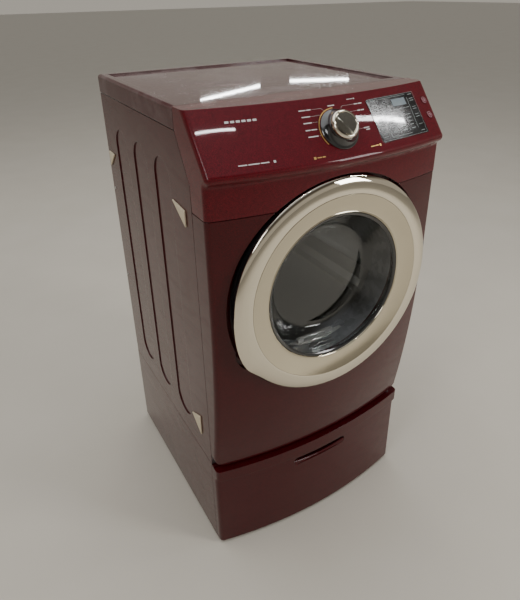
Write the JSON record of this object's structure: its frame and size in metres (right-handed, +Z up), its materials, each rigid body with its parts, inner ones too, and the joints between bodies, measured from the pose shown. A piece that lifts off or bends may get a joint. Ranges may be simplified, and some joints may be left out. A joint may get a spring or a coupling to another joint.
{
  "type": "front-load tumble dryer on a drawer pedestal",
  "caption": "Front-load tumble dryer with a round porthole door, sloping control console and a storage-drawer pedestal; door, drum, drive, dial, buttons, drawer and feet move.",
  "frame": {"origin": "on the floor under the middle of the whole object", "axes": "+Z up, the front faces -Y, +X is to the right seen from the front"},
  "size_m": [0.688, 0.7999, 1.335],
  "materials": {
    "merlot_paint": "glossy metallic deep red enamel",
    "merlot_plastic": "glossy metallic deep red moulded plastic",
    "chrome": "bright chrome plate",
    "satin_trim": "pale champagne satin plate",
    "black_gloss": "piano-black gloss",
    "black_plastic": "fine-grained black",
    "window_glass": "clear",
    "galvanised_steel": "zinc-coated sheet",
    "drum_steel": "satin stainless",
    "white_plastic": "moulded white",
    "grey_plastic": "moulded grey",
    "rubber": "matt",
    "felt": "pressed wool felt",
    "circuit_board": "solder-masked",
    "copper_wire": "winding copper",
    "cast_metal": "painted casting"
  },
  "bodies": {
    "cabinet": {"base_pan": "galvanised_steel", "left_side_panel": "merlot_paint", "right_side_panel": "merlot_paint", "rear_panel": "galvanised_steel", "top_panel": "merlot_paint", "console_fascia": "merlot_plastic", "front_panel": "merlot_paint", "display_window": "black_gloss", "control_board": "circuit_board", "front_bulkhead": "galvanised_steel", "rear_bulkhead": "galvanised_steel", "drum_felt_seals": "felt", "lint_duct": "grey_plastic", "blower_housing": "grey_plastic", "exhaust_duct": "galvanised_steel", "heater_housing": "galvanised_steel", "heater_coil": "copper_wire", "motor": "cast_metal", "roller_shafts": "drum_steel", "drive_belt": "rubber", "steam_valve": "white_plastic", "steam_hose": "rubber", "terminal_block": "black_plastic", "moisture_sensor_bars": "drum_steel", "panel_screws": "drum_steel", "door_catch": "white_plastic", "door_hinge_base": "cast_metal", "pedestal_shell": "merlot_paint", "pedestal_deck": "merlot_paint", "slide_outers": "galvanised_steel"},
    "door": {"door_chrome_ring": "chrome", "door_inner_ring": "satin_trim", "door_glass": "window_glass", "door_back_frame": "black_gloss", "door_gasket": "rubber", "door_hinge_arm": "cast_metal", "door_strike": "cast_metal"},
    "drum": {"drum_shell": "drum_steel", "drum_baffles": "white_plastic"},
    "front_left_roller": {"front_left_roller": "grey_plastic"},
    "front_right_roller": {"front_right_roller": "grey_plastic"},
    "rear_left_roller": {"rear_left_roller": "grey_plastic"},
    "rear_right_roller": {"rear_right_roller": "grey_plastic"},
    "belt_tensioner": {"idler_arm": "galvanised_steel"},
    "idler_wheel": {"idler_pulley": "black_plastic"},
    "motor_rotor": {"motor_shaft": "drum_steel", "blower_wheel": "black_plastic"},
    "lint_filter": {"lint_filter": "white_plastic"},
    "dial": {"dial_skirt": "black_gloss", "dial_cap": "chrome"},
    "power_button": {"power_button": "merlot_plastic"},
    "start_button": {"start_button": "merlot_plastic"},
    "drawer": {"drawer_front": "merlot_paint", "drawer_box": "galvanised_steel", "slide_inners": "galvanised_steel"},
    "drawer_middle_rails": {"slide_middles": "galvanised_steel"},
    "front_left_foot": {"front_left_foot": "rubber"},
    "rear_left_foot": {"rear_left_foot": "rubber"},
    "front_right_foot": {"front_right_foot": "rubber"},
    "rear_right_foot": {"rear_right_foot": "rubber"}
  },
  "joints": [
    {"name": "door_hinge", "type": "hinge", "parent": "cabinet", "child": "door", "pos_m": [0.301, -0.37, 0.863], "axis": [0, 0, 1], "range_deg": [0, 150]},
    {"name": "drum_spin", "type": "hinge", "parent": "cabinet", "child": "drum", "pos_m": [0, 0, 0.863], "axis": [0, 1, 0], "continuous": true},
    {"name": "front_left_roller_spin", "type": "hinge", "parent": "cabinet", "child": "front_left_roller", "pos_m": [-0.19806, -0.242, 0.58015], "axis": [0, 1, 0], "continuous": true},
    {"name": "front_right_roller_spin", "type": "hinge", "parent": "cabinet", "child": "front_right_roller", "pos_m": [0.19806, -0.242, 0.58015], "axis": [0, 1, 0], "continuous": true},
    {"name": "rear_left_roller_spin", "type": "hinge", "parent": "cabinet", "child": "rear_left_roller", "pos_m": [-0.19806, 0.3255, 0.58015], "axis": [0, 1, 0], "continuous": true},
    {"name": "rear_right_roller_spin", "type": "hinge", "parent": "cabinet", "child": "rear_right_roller", "pos_m": [0.19806, 0.3255, 0.58015], "axis": [0, 1, 0], "continuous": true},
    {"name": "motor_spin", "type": "hinge", "parent": "cabinet", "child": "motor_rotor", "pos_m": [0.17, 0, 0.44], "axis": [0, 1, 0], "continuous": true},
    {"name": "tensioner_swing", "type": "hinge", "parent": "cabinet", "child": "belt_tensioner", "pos_m": [0.088, 0.105, 0.4], "axis": [0, 1, 0], "range_deg": [0, 7], "stiffness_Nm_per_rad": 2, "springref_deg": -17.19},
    {"name": "idler_spin", "type": "hinge", "parent": "belt_tensioner", "child": "idler_wheel", "pos_m": [0.07, 0.105, 0.485], "axis": [0, 1, 0], "continuous": true},
    {"name": "lint_filter_lift", "type": "slide", "parent": "cabinet", "child": "lint_filter", "axis": [0, 0, 1], "range_m": [0, 0.2]},
    {"name": "dial_turn", "type": "hinge", "parent": "cabinet", "child": "dial", "pos_m": [0, -0.35486, 1.2696], "axis": [0, -0.788, 0.6157], "continuous": true},
    {"name": "power_press", "type": "slide", "parent": "cabinet", "child": "power_button", "axis": [-0.1735, 0.7687, -0.6157], "range_m": [0, 0.0015], "stiffness_N_per_m": 400, "springref_m": -0.0005},
    {"name": "start_press", "type": "slide", "parent": "cabinet", "child": "start_button", "axis": [-0.1705, 0.7694, -0.6157], "range_m": [0, 0.0015], "stiffness_N_per_m": 400, "springref_m": -0.0005},
    {"name": "drawer_slide", "type": "slide", "parent": "cabinet", "child": "drawer", "axis": [0, -1, 0], "range_m": [0, 0.44]},
    {"name": "middle_rail_slide", "type": "slide", "parent": "cabinet", "child": "drawer_middle_rails", "axis": [0, -1, 0], "range_m": [0, 0.22]},
    {"name": "front_left_foot_screw", "type": "slide", "parent": "cabinet", "child": "front_left_foot", "axis": [0, 0, -1], "range_m": [0, 0.015]},
    {"name": "rear_left_foot_screw", "type": "slide", "parent": "cabinet", "child": "rear_left_foot", "axis": [0, 0, -1], "range_m": [0, 0.015]},
    {"name": "front_right_foot_screw", "type": "slide", "parent": "cabinet", "child": "front_right_foot", "axis": [0, 0, -1], "range_m": [0, 0.015]},
    {"name": "rear_right_foot_screw", "type": "slide", "parent": "cabinet", "child": "rear_right_foot", "axis": [0, 0, -1], "range_m": [0, 0.015]}
  ],
  "couplings": [
    {"joint": "front_left_roller_spin", "follows": "drum_spin", "ratio": -8.8571},
    {"joint": "front_right_roller_spin", "follows": "drum_spin", "ratio": -8.8571},
    {"joint": "rear_left_roller_spin", "follows": "drum_spin", "ratio": -8.8571},
    {"joint": "rear_right_roller_spin", "follows": "drum_spin", "ratio": -8.8571},
    {"joint": "motor_spin", "follows": "drum_spin", "ratio": 25.833},
    {"joint": "idler_spin", "follows": "drum_spin", "ratio": 14.091},
    {"joint": "middle_rail_slide", "follows": "drawer_slide", "ratio": 0.5}
  ]
}
